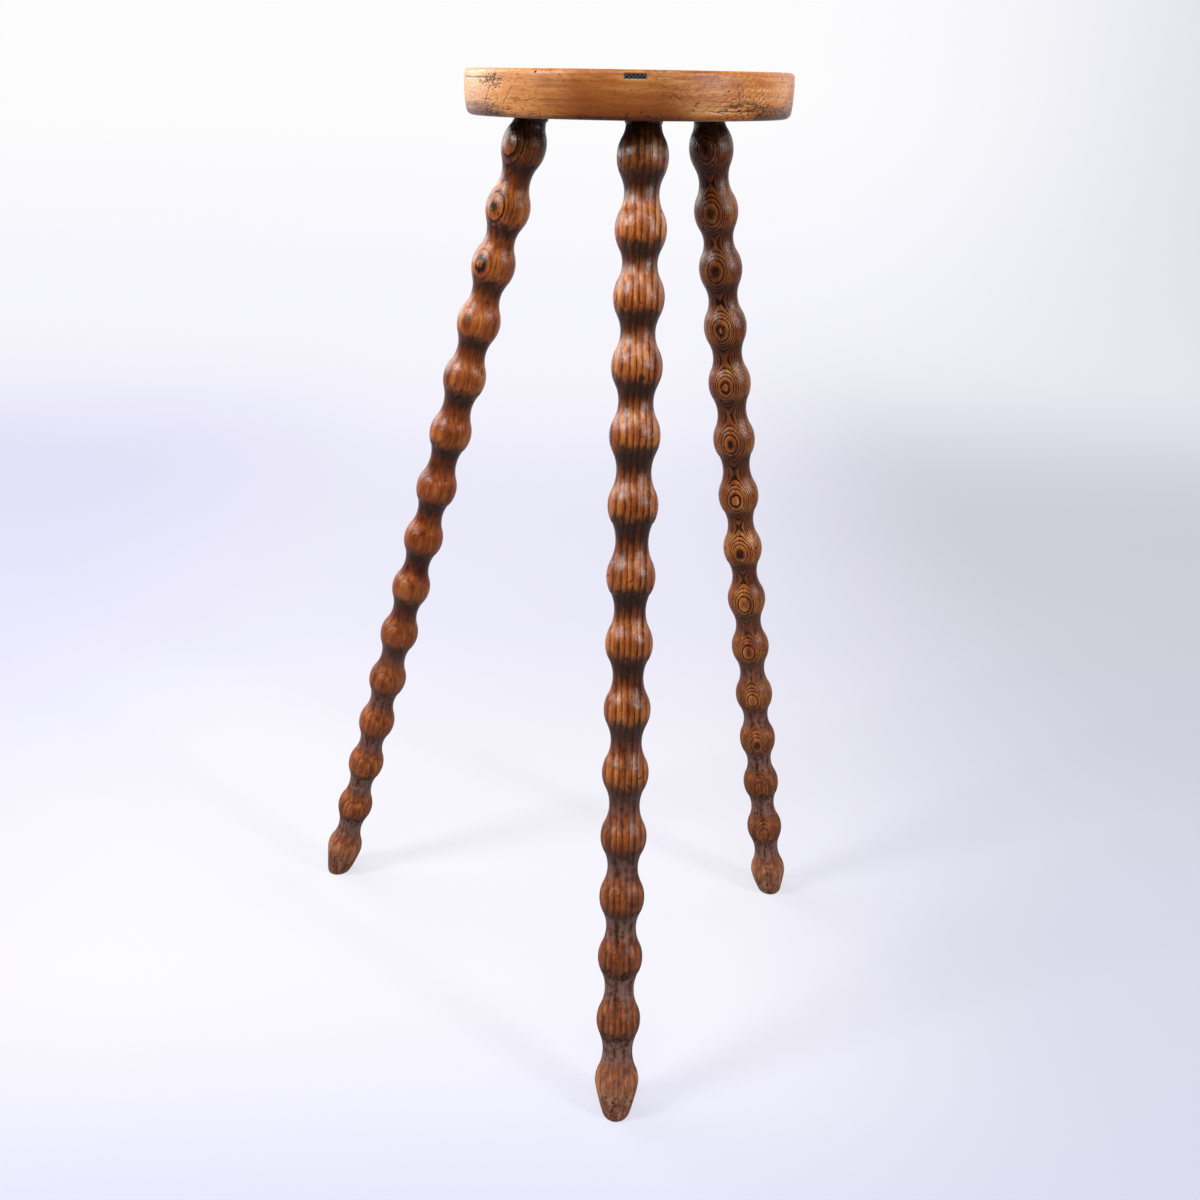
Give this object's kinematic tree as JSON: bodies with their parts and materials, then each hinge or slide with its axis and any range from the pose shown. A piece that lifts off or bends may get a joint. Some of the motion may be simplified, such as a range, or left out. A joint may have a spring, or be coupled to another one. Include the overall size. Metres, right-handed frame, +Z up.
{
  "type": "bobbin stool",
  "caption": "Tall tripod stool: a thick round wooden seat on slender splayed legs turned as rows of bobbin beads, for sitting or as a stand.",
  "frame": {"origin": "centre of the stool's bounding box, on the floor that its three feet stand on", "axes": "+Z up, -Y towards the front leg, +X to the right seen from the front; the seat's axis is parallel to Z"},
  "size_m": [0.4944, 0.376, 0.802],
  "materials": {
    "seat_wood": "stained and waxed softwood, worn and pitted",
    "leg_wood": "turned ringed softwood, stained dark, polished with wax",
    "fastener_steel": "dull blue-grey steel, darkened with age"
  },
  "bodies": {
    "root": {"seat": "seat_wood", "leg_front": "leg_wood", "leg_left": "leg_wood", "leg_right": "leg_wood", "edge_fastener": "fastener_steel"}
  },
  "joints": []
}
